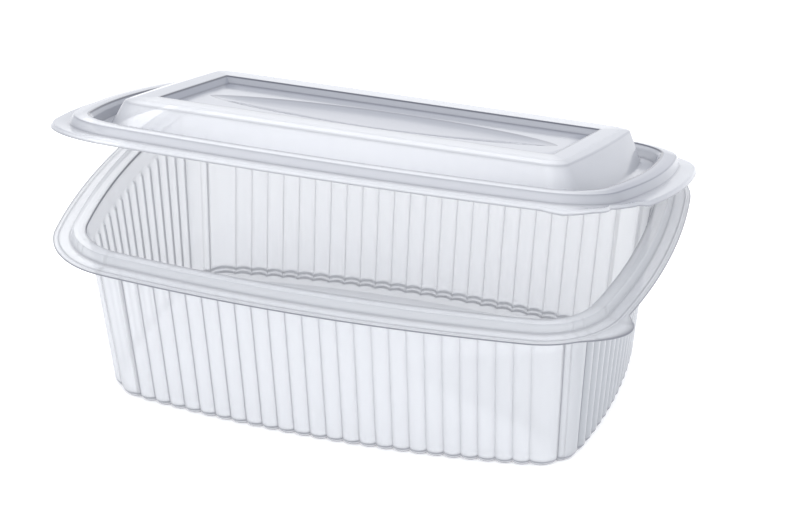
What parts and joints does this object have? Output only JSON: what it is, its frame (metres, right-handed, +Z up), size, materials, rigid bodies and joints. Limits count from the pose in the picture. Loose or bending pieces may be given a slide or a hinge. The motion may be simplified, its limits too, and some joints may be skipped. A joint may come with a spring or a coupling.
{
  "type": "takeaway meal container",
  "caption": "Empty clear plastic takeaway box: a fluted tub with a rolled rim and a hinged domed lid, held partly open.",
  "frame": {"origin": "on the surface the container stands on, under the middle of its outline", "axes": "+X along the long sides, -Y the front where the lid opens, +Y the hinge side, +Z up"},
  "size_m": [0.2434, 0.1764, 0.1274],
  "materials": {
    "clear_tub": "clear thermoformed sheet, glossy, faintly blue-grey",
    "clear_lid": "clear thermoformed sheet, glossy, faintly blue-grey"
  },
  "bodies": {
    "tub": {"tub": "clear_tub", "hinge_strip": "clear_tub"},
    "lid": {"lid": "clear_lid"}
  },
  "joints": [
    {"name": "lid_hinge", "type": "hinge", "parent": "tub", "child": "lid", "pos_m": [0, 0.08755, 0.07035], "axis": [-1, 0, 0], "range_deg": [-18, 162]}
  ]
}
